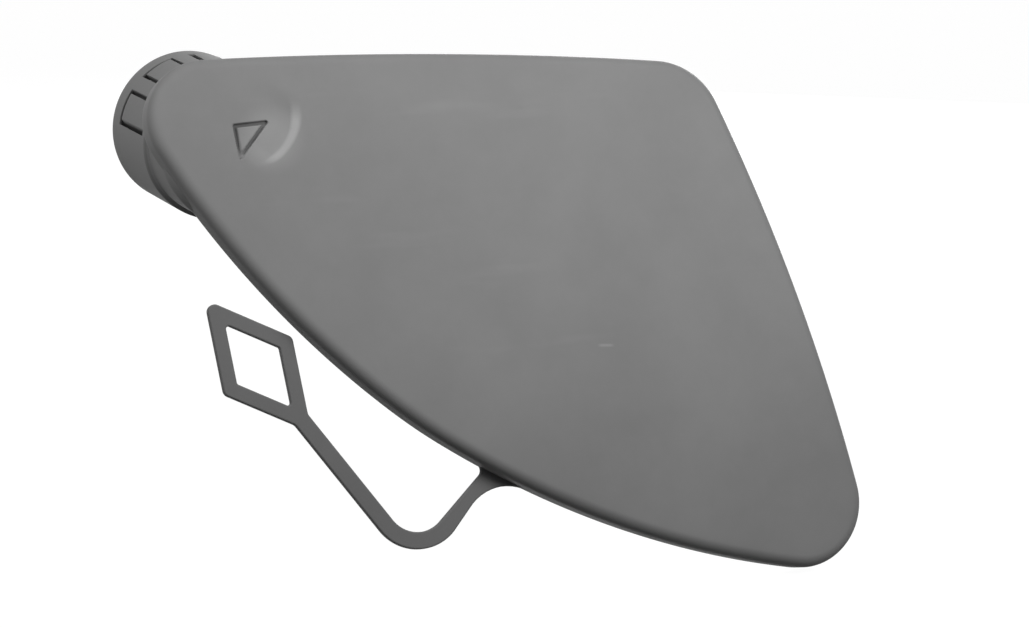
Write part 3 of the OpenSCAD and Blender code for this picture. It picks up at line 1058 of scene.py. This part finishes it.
@dataclass(frozen=True)
class Wiring:
    """Short calls that add nodes to one node tree and join them."""

    tree: bpy.types.NodeTree

    def feed(self, node: bpy.types.Node, feeds: dict[str | int, Feed]) -> bpy.types.Node:
        """Feeds a node's inputs: an output is joined to them, and a number or a vector is set on them.

        Args:
            node: The node.
            feeds: The source of each input that isn't left as it is, by the input's name or number.

        Returns:
            The same node.
        """
        for key, source in feeds.items():
            if isinstance(source, Socket):
                self.tree.links.new(source, node.inputs[key])
            else:
                node.inputs[key].default_value = np.asarray(source, dtype=float).tolist()
        return node

    def node(self, kind: str, feeds: dict[str | int, Feed]) -> bpy.types.Node:
        """Adds a node, whose kind is its type less the leading word ShaderNode, and feeds it."""
        return self.feed(self.tree.nodes.new(f"ShaderNode{kind}"), feeds)

    def maths(self, operation: str, *sources: Feed) -> Socket:
        """Arithmetic on one or two values.

        Args:
            operation: What is done with them.
            sources: The values.

        Returns:
            The outcome.
        """
        node = self.node("Math", dict(enumerate(sources)))
        node.operation = operation
        return node.outputs["Value"]

    def fold(self, operation: str, *sources: Feed) -> Socket:
        """Arithmetic on several values in turn, such as the product or the greatest of all."""
        return reduce(lambda total, source: self.maths(operation, total, source), sources)

    def vector(self, operation: str, *sources: Feed, output: str = "Value") -> Socket:
        """Vector arithmetic.

        Args:
            operation: What is done with the vectors.
            sources: The vectors.
            output: Value where a number comes out, and Vector where a vector does.

        Returns:
            The outcome.
        """
        node = self.node("VectorMath", dict(enumerate(sources)))
        node.operation = operation
        return node.outputs[output]

    def remap(self, value: Feed, low: float, high: float, span: tuple[float, float] = (0.0, 1.0),
              smooth: bool = False) -> Socket:
        """Maps a value from a span to a low and a high figure, and holds it between them.

        Args:
            value: The value.
            low: What the span's first figure becomes.
            high: What the span's second figure becomes.
            span: Where the value comes from.
            smooth: Whether it goes from low to high in a soft step and not in a straight line.

        Returns:
            The outcome.
        """
        figures = {"From Min": span[0], "From Max": span[1], "To Min": low, "To Max": high}
        node = self.node("MapRange", {"Value": value, **figures})
        node.interpolation_type = "SMOOTHSTEP" if smooth else "LINEAR"
        return node.outputs["Result"]

    def step(self, value: Feed, span: tuple[float, float], base: float = 0.0) -> Socket:
        """Soft step from 0 to 1 over a span that is counted from a base, all in millimetres."""
        start, stop = ((base + edge) * METRES for edge in span)
        return self.remap(value, 0.0, 1.0, (start, stop), True)

    def group(self, group: "ShaderGroup", **numbers: float) -> bpy.types.NodeOutputs:
        """Places a shader group on Object coordinates.

        Args:
            group: The group.
            numbers: Values for its other inputs.

        Returns:
            Its outputs.
        """
        place = self.node("TexCoord", {})
        node = self.node("Group", {})
        node.node_tree = group.tree()
        return self.feed(node, {"Vector": place.outputs["Object"], **numbers}).outputs


class ShaderGroup:
    """Shader node group that is made once and shared.

    Its input Vector takes Object coordinates, and its other inputs and its outputs are values.
    """

    title: str
    numbers: ClassVar[tuple[str, ...]] = ()
    outputs: ClassVar[tuple[str, ...]] = ("Value",)

    def masks(self, wiring: Wiring, entry: bpy.types.NodeOutputs) -> tuple[Socket, ...]:
        """Wires the group's inside and gives one value for each output, in their order."""
        raise NotImplementedError

    def tree(self) -> bpy.types.NodeTree:
        """Makes the group, or finds it where it has been made.

        Returns:
            The group's node tree.
        """
        if self.title in bpy.data.node_groups:
            return bpy.data.node_groups[self.title]
        tree = bpy.data.node_groups.new(self.title, "ShaderNodeTree")
        tree.interface.new_socket("Vector", in_out="INPUT", socket_type="NodeSocketVector")
        for name in self.numbers:
            tree.interface.new_socket(name, in_out="INPUT", socket_type="NodeSocketFloat")
        for name in self.outputs:
            tree.interface.new_socket(name, in_out="OUTPUT", socket_type="NodeSocketFloat")
        entry, leave = tree.nodes.new("NodeGroupInput"), tree.nodes.new("NodeGroupOutput")
        wiring = Wiring(tree)
        wiring.feed(leave, dict(zip(self.outputs, self.masks(wiring, entry.outputs))))
        return tree


class Patch(Enum):
    """Noise patterns that the finish lays over one another."""

    CLOUDS = "clouds"
    GRAIN = "grain"
    SCUFFS = "scuffs"


@dataclass(frozen=True)
class Pattern(ShaderGroup):
    """Noise from 0 to 1: plain and fractal for clouds and grain, and only its peaks for scuffs."""

    patch: Patch
    roughness: float = 0.6
    scuff_turn: float = 0.5
    scuff_stretch: tuple[float, float, float] = (0.25, 1.0, 1.6)
    scuff_span: tuple[float, float] = (0.60, 0.74)
    numbers: ClassVar[tuple[str, ...]] = ("Scale", "Detail")

    @property
    def title(self) -> str:
        """Name of the group, one for each pattern."""
        return f"{self.patch.value}_pattern"

    def masks(self, wiring: Wiring, entry: bpy.types.NodeOutputs) -> tuple[Socket, ...]:
        """Puts the noise on the coordinates, which are turned and stretched for scuffs.

        Args:
            wiring: The group's wiring.
            entry: Its inputs.

        Returns:
            The pattern's value.
        """
        feeds = {name: entry[name] for name in ("Vector", *self.numbers)} | {"Roughness": self.roughness}
        if self.patch is not Patch.SCUFFS:
            return (wiring.node("TexNoise", feeds).outputs["Fac"],)
        turn = (0.0, self.scuff_turn, 0.0)
        placed = {"Vector": entry["Vector"], "Rotation": turn, "Scale": self.scuff_stretch}
        feeds["Vector"] = wiring.node("Mapping", placed).outputs["Vector"]
        noise = wiring.node("TexNoise", feeds).outputs["Fac"]
        return (wiring.remap(noise, 0.0, 1.0, self.scuff_span, True),)


@dataclass(frozen=True)
class CollarPaintedShade(ShaderGroup):
    """How far a point lies inside the collar's wall, for painted shade on the slots and in the bore.

    The output Value goes from 0 on the land's outer surface to 1 a little below it.
    """

    collar: Collar
    below_land: tuple[float, float] = (-0.1, -0.7)
    past_land: float = 0.6
    title: ClassVar[str] = "collar_painted_shade"

    def masks(self, wiring: Wiring, entry: bpy.types.NodeOutputs) -> tuple[Socket, ...]:
        """Steps the distance from the collar's axis, and fades it past the land's end.

        Args:
            wiring: The group's wiring.
            entry: Its inputs.

        Returns:
            The painted shade's strength, from 0 to 1.
        """
        part = wiring.node("SeparateXYZ", {"Vector": entry["Vector"]}).outputs
        across = wiring.node("CombineXYZ", {"X": part["X"], "Z": part["Z"]})
        radius = wiring.vector("LENGTH", across.outputs["Vector"])
        # Painted shade: points below the land's surface, on the slot walls and in the bore, are darkened
        # where shade falls.
        under = wiring.step(radius, self.below_land, self.collar.land_r)
        end = -self.collar.land_len
        land = wiring.remap(part["Y"], 0.0, 1.0, ((end - self.past_land) * METRES, end * METRES))
        return (wiring.maths("MULTIPLY", under, land),)


@dataclass(frozen=True)
class FacePaintedLightAndScuff(ShaderGroup):
    """Marks on the face: a painted highlight on the press mark's rim and floor, a scuff, and painted
    shade in the engraving.

    The output Value is the painted highlight together with the scuff, and the second output is the
    engraving's painted shade, both from 0 to 1. A pair of sizes tells where a soft step starts and
    where it is full, in millimetres.
    """

    plate: Plate
    press: FingerPress
    # Sizes of the painted highlight on the scoop's rim and in its bowl.
    rim_inside: tuple[float, float] = (-1.4, -0.1)
    rim_outside: tuple[float, float] = (1.6, 0.3)
    rim_aside: tuple[float, float] = (9.0, 4.0)
    rim_along: tuple[float, float] = (0.0, 4.0)
    bowl_centre: tuple[float, float] = (6.8, 3.0)
    bowl_reach: tuple[float, float] = (8.8, 2.5)
    bowl_highlight: float = 0.4
    scuff_middle: tuple[float, float] = (77.3, -47.4)
    scuff_heading: float = -4.0
    scuff_reach: tuple[float, float] = (2.3, 0.8)
    scuff_width: tuple[float, float] = (0.5, 0.1)
    scuff_level: tuple[float, float] = (-1.6, -1.2)
    scuff_rub: float = 0.45
    face_level: tuple[float, float] = (-2.0, -1.7)
    # Where the painted shade in the engraving's grooves starts and where it is full.
    engraving_shade_level: tuple[float, float] = (-0.12, -0.45)
    engraving_shade_reach: tuple[float, float] = (6.4, 5.9)
    title: ClassVar[str] = "face_painted_light_and_scuff"
    outputs: ClassVar[tuple[str, ...]] = ("Value", "Dust")

    @staticmethod
    def _spot(p: tuple[float, float] | np.ndarray) -> np.ndarray:
        """Point of the plate's frame as a flat vector in metres."""
        return np.array([*p, 0.0]) * METRES

    def _offsets(self, wiring: Wiring, flat: Socket, centre: tuple[float, float],
                 heading: float) -> list[Socket]:
        """Offsets from a centre along a heading and square to it.

        Args:
            wiring: The group's wiring.
            flat: Coordinates in the plate's frame, without the height.
            centre: The centre, in the plate's frame.
            heading: The heading, in degrees.

        Returns:
            The two offsets, in metres.
        """
        offset = wiring.vector("SUBTRACT", flat, self._spot(centre), output="Vector")
        turns = (unit(heading + turn) for turn in (0.0, 90.0))
        return [wiring.vector("DOT_PRODUCT", offset, (*turn, 0.0)) for turn in turns]

    def _rim_highlight(self, wiring: Wiring, flat: Socket) -> Socket:
        """Painted highlight: a band along the middle of the scoop's wall, faded sideways and towards the
        high end.

        Args:
            wiring: The group's wiring.
            flat: Coordinates in the plate's frame, without the height.

        Returns:
            The painted highlight, from 0 to 1.
        """
        away = wiring.vector("DISTANCE", flat, self._spot(self.press.rim_centre))
        middle = self.press.rim_r - 0.5 * self.press.wall
        along, across = self._offsets(wiring, flat, self.press.centre, self.press.fall_heading)
        shifted = wiring.maths("SUBTRACT", across, self.press.side_shift * METRES)
        aside = wiring.maths("ABSOLUTE", shifted)
        band = (wiring.step(away, span, middle) for span in (self.rim_inside, self.rim_outside))
        return wiring.fold("MULTIPLY", *band, wiring.step(aside, self.rim_aside),
                           wiring.step(along, self.rim_along))

    def _scuff(self, wiring: Wiring, flat: Socket, level: Socket) -> Socket:
        """Short scuff on the outer surface of the face.

        Args:
            wiring: The group's wiring.
            flat: Coordinates in the plate's frame, without the height.
            level: Height in the plate's frame.

        Returns:
            The rub, from 0 to its own share.
        """
        offsets = self._offsets(wiring, flat, self.scuff_middle, self.scuff_heading)
        reach, width = (wiring.maths("ABSOLUTE", offset) for offset in offsets)
        crown = float(self.plate.crown(np.array(self.scuff_middle)))
        return wiring.fold("MULTIPLY", wiring.step(reach, self.scuff_reach),
                           wiring.step(width, self.scuff_width), self.scuff_rub,
                           wiring.step(level, self.scuff_level, crown))

    def _engraving_shade(self, wiring: Wiring, placed: Socket, flat: Socket, axes: np.ndarray) -> Socket:
        """Painted shade below the scoop's floor, near the engraving.

        The floor is taken as a plane: the crown's slope at the engraving, less the fall of the floor.

        Args:
            wiring: The group's wiring.
            placed: Coordinates from the plate frame's origin.
            flat: The same in the plate's frame, without the height.
            axes: The plate frame's three directions, as rows.

        Returns:
            The painted shade, from 0 to 1.
        """
        mark = self.press.triangle().mean(axis=0)
        slope = np.array(self.plate.slope(tuple(mark)))
        fall = 0.5 * self.press.depth / self.press.floor_r * unit(self.press.fall_heading)
        floor = float(self.plate.crown(mark) - slope @ mark + fall @ np.array(self.press.centre))
        rise = axes[2] - (slope - fall) @ axes[:2]
        height = wiring.vector("DOT_PRODUCT", placed, rise)
        below = wiring.step(height, self.engraving_shade_level, floor - 0.5 * self.press.depth)
        near = wiring.vector("DISTANCE", flat, self._spot(mark))
        return wiring.maths("MULTIPLY", below, wiring.step(near, self.engraving_shade_reach))

    def masks(self, wiring: Wiring, entry: bpy.types.NodeOutputs) -> tuple[Socket, ...]:
        """Turns the coordinates into the plate's frame and lays painted highlights and a scuff on the
        face.

        Args:
            wiring: The group's wiring.
            entry: Its inputs.

        Returns:
            The painted highlight with the scuff, and the engraving's painted shade.
        """
        rake = np.radians(self.plate.sizes.rake)
        right, upward = np.array([1.0, 0.0, 0.0]), np.array([0.0, np.sin(rake), np.cos(rake)])
        axes = np.stack([right, upward, np.cross(right, upward)])
        shift = (0.0, self.plate.sizes.collar_depth * METRES, 0.0)
        placed = wiring.vector("ADD", entry["Vector"], shift, output="Vector")
        u, v, level = (wiring.vector("DOT_PRODUCT", placed, axis) for axis in axes)
        flat = wiring.node("CombineXYZ", {"X": u, "Y": v}).outputs["Vector"]
        face = wiring.step(level, self.face_level)
        # Painted highlight: a pale patch in the scoop's bowl, where light falls on it.
        bowl = wiring.vector("DISTANCE", flat, self._spot(self.bowl_centre))
        bowl = wiring.maths("MULTIPLY", wiring.step(bowl, self.bowl_reach), self.bowl_highlight)
        highlight_and_scuff = wiring.fold("MAXIMUM", self._rim_highlight(wiring, flat), bowl, self._scuff(wiring, flat, level))
        engraving_shade = self._engraving_shade(wiring, placed, flat, axes)
        return wiring.maths("MULTIPLY", highlight_and_scuff, face), wiring.maths("MULTIPLY", engraving_shade, face)


@dataclass(frozen=True)
class SatinPlastic:
    """Unpainted satin plastic: a neutral grey with faint clouds, scuffs and a fine moulded grain."""

    name: str = "cover_satin_plastic"
    shade: float = 0.25
    # Strength of the painted shade in the collar's slots and bore.
    collar_shade_share: float = 0.8
    # Strength of the painted highlight on the press mark, together with the face's scuff.
    highlight_and_scuff_share: float = 0.62
    # Strength of the painted shade in the engraving.
    engraving_shade_share: float = 0.5
    cloud_share: float = 0.07
    scuff_share: float = 0.06
    cloud_span: tuple[float, float] = (0.3, 0.7)
    cloud_scale: float = 34.0
    cloud_detail: float = 5.0
    scuff_scale: float = 60.0
    scuff_detail: float = 3.0
    grain_scale: float = 1500.0
    grain_detail: float = 2.0
    roughness: tuple[float, float] = (0.5, 0.62)
    grain_height: float = 0.00003
    grain_strength: float = 0.22
    specular: float = 0.08

    def _grey(self, wiring: Wiring, clouds: Socket) -> Socket:
        """Grey: clouds plus scuffs, less painted shade in slots and engraving, plus a painted highlight.

        Args:
            wiring: The material's wiring.
            clouds: The cloud pattern.

        Returns:
            The colour.
        """
        plate = Plate()
        scuffs = wiring.group(Pattern(Patch.SCUFFS), Scale=self.scuff_scale, Detail=self.scuff_detail)
        collar_shade = wiring.group(CollarPaintedShade(Collar(plate)))["Value"]
        face_light_shade_and_scuff = wiring.group(FacePaintedLightAndScuff(plate, FingerPress()))
        highlight_and_scuff, dark = self.shade * (1.0 + self.cloud_share), self.shade * (1.0 - self.cloud_share)
        value = wiring.maths("ADD", wiring.remap(clouds, dark, highlight_and_scuff, self.cloud_span),
                             wiring.remap(scuffs["Value"], 0.0, self.shade * self.scuff_share))
        # Painted shade in the collar and the engraving, and the press mark's painted highlight with the
        # scuff.
        effects = ((collar_shade, -self.collar_shade_share), (face_light_shade_and_scuff["Dust"], -self.engraving_shade_share),
                   (face_light_shade_and_scuff["Value"], self.highlight_and_scuff_share))
        for mask, share in effects:
            value = wiring.maths("MULTIPLY", value, wiring.remap(mask, 1.0, 1.0 + share))
        channels = dict.fromkeys(("Red", "Green", "Blue"), value)
        return wiring.node("CombineColor", channels).outputs["Color"]

    def material(self) -> bpy.types.Material:
        """Builds the material: colour from the grey, roughness from the clouds, bump from the grain.

        Returns:
            The material, made once.
        """
        if self.name in bpy.data.materials:
            return bpy.data.materials[self.name]
        material = bpy.data.materials.new(self.name)
        material.use_nodes = True
        wiring = Wiring(material.node_tree)
        clouds = wiring.group(Pattern(Patch.CLOUDS), Scale=self.cloud_scale, Detail=self.cloud_detail)
        grain = wiring.group(Pattern(Patch.GRAIN), Scale=self.grain_scale, Detail=self.grain_detail)
        relief = {"Strength": self.grain_strength, "Distance": self.grain_height}
        bump = wiring.node("Bump", {"Height": grain["Value"], **relief})
        wiring.feed(material.node_tree.nodes["Principled BSDF"], {
            "Base Color": self._grey(wiring, clouds["Value"]),
            "Roughness": wiring.remap(clouds["Value"], *self.roughness, self.cloud_span),
            "Normal": bump.outputs["Normal"],
            "Specular IOR Level": self.specular,
        })
        return material


def aimed(name: str, data: bpy.types.ID, place: Vector, ahead: Vector) -> bpy.types.Object:
    """Puts a lamp or a camera into the scene.

    Args:
        name: The object's name.
        data: The lamp or the camera.
        place: Where it stands, in metres.
        ahead: The direction that it looks in.

    Returns:
        The object that holds it.
    """
    holder = bpy.data.objects.new(name, data)
    holder.location = place
    holder.rotation_mode = "QUATERNION"
    holder.rotation_quaternion = ahead.to_track_quat("-Z", "Y")
    bpy.context.scene.collection.objects.link(holder)
    return holder


@dataclass(frozen=True)
class SoftBox:
    """Square studio lamp that looks at the object's middle."""

    name: str
    place: tuple[float, float, float]
    size: float
    watts: float

    def build(self, target: Vector) -> None:
        """Adds the lamp.

        Args:
            target: The point that it looks at, in metres.
        """
        lamp = bpy.data.lights.new(self.name, "AREA")
        lamp.shape = "SQUARE"
        lamp.size = self.size
        lamp.energy = self.watts
        aimed(self.name, lamp, target + Vector(self.place), -Vector(self.place))


@dataclass(frozen=True)
class Studio:
    """Camera, pale floor, lamps and a white surround."""

    azimuth: float = -21.0
    elevation: float = 11.5
    lens: float = 150.0
    sensor: float = 36.0
    clip: tuple[float, float] = (0.05, 20.0)
    distance: float = 958.26
    target: tuple[float, float, float] = (65.646, -34.172, -41.175)
    floor_half: float = 3.0
    floor_gap: float = 0.2
    floor_shade: float = 0.08
    floor_roughness: float = 0.9
    floor_specular: float = 0.1
    floor_lift: float = 0.96
    surround: float = 0.016
    lamps: tuple[SoftBox, ...] = (
        SoftBox("key_lamp", (0.09, -0.25, 0.2), 0.2, 0.82),
        SoftBox("left_lamp", (-0.308, -0.08, 0.293), 0.15, 0.68),
        SoftBox("back_lamp", (0.4, 0.55, 0.12), 0.4, 2.8),
    )

    def camera(self) -> None:
        """Adds the camera on the photograph's line of sight."""
        a, e = np.radians(self.azimuth), np.radians(self.elevation)
        back = Vector((np.sin(a) * np.cos(e), -np.cos(a) * np.cos(e), np.sin(e)))
        eye = bpy.data.cameras.new("camera")
        eye.lens = self.lens
        eye.sensor_width = self.sensor
        eye.clip_start, eye.clip_end = self.clip
        place = Vector(self.target) * METRES + back * self.distance * METRES
        bpy.context.scene.camera = aimed("camera", eye, place, -back)

    def backdrop_light(self, wiring: Wiring) -> Socket:
        """Picks the rays that see the backdrop: the greatest of the marks of their kinds.

        Args:
            wiring: Wiring of the backdrop's material.

        Returns:
            Value that is 1 for camera, glossy and transmission rays and 0 for the rest.
        """
        path = wiring.node("LightPath", {}).outputs
        rays = ("Is Camera Ray", "Is Glossy Ray", "Is Transmission Ray")
        return wiring.fold("MAXIMUM", *(path[ray] for ray in rays))

    def floor(self) -> None:
        """Adds the pale floor just below the object, staged so that it isn't part of it."""
        level = CAD_BOX[0].z - self.floor_gap * METRES
        signs = ((-1, -1), (1, -1), (1, 1), (-1, 1))
        corners = [(x * self.floor_half, y * self.floor_half, level) for x, y in signs]
        mesh = bpy.data.meshes.new("floor")
        mesh.from_pydata(corners, [], [(0, 1, 2, 3)])
        floor = bpy.data.objects.new("floor", mesh)
        bpy.context.scene.collection.objects.link(floor)
        material = bpy.data.materials.new("pale_floor")
        material.use_nodes = True
        wiring = Wiring(material.node_tree)
        lift = wiring.maths("MULTIPLY", self.backdrop_light(wiring), self.floor_lift)
        wiring.feed(material.node_tree.nodes["Principled BSDF"], {
            "Base Color": (self.floor_shade, self.floor_shade, self.floor_shade, 1.0),
            "Roughness": self.floor_roughness,
            "Specular IOR Level": self.floor_specular,
            "Emission Color": WHITE,
            "Emission Strength": lift,
        })
        mesh.materials.append(material)

    def world(self) -> None:
        """Sets a white surround for what is seen and a plain grey one for the light that it gives."""
        world = bpy.data.worlds.new("surround")
        world.use_nodes = True
        bpy.context.scene.world = world
        wiring = Wiring(world.node_tree)
        strength = wiring.remap(self.backdrop_light(wiring), self.surround, 1.0)
        wiring.feed(world.node_tree.nodes["Background"], {"Color": WHITE, "Strength": strength})

    def build(self) -> None:
        """Adds everything and sets the plain view transform."""
        self.camera()
        self.floor()
        self.world()
        for lamp in self.lamps:
            lamp.build(Vector(self.target) * METRES)
        bpy.context.scene.view_settings.view_transform = "Standard"


def adopt(piece: bpy.types.Object, finish: SatinPlastic) -> None:
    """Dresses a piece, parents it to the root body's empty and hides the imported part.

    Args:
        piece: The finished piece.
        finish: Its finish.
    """
    piece.data.materials.append(finish.material())
    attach(piece, BODY)
    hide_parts(NODE)
    log.info("%s: %d faces", piece.name, len(piece.data.polygons))


def main() -> None:
    """Builds the studio and the four surfaces of the moulding."""
    logging.basicConfig(level=logging.INFO, format="%(name)s %(message)s")
    Studio().build()
    plate = Plate()
    satin = SatinPlastic()
    for part in (Panel(plate, FingerPress()), Collar(plate), BackHooks(plate)):
        adopt(part.build(), satin)
    # The tether's darker copy of the plastic is painted shade.
    adopt(Tether(plate).build(), SatinPlastic("cover_shaded_copy_plastic", shade=TETHER_PAINTED_SHADE))


if __name__ == "__main__":
    main()
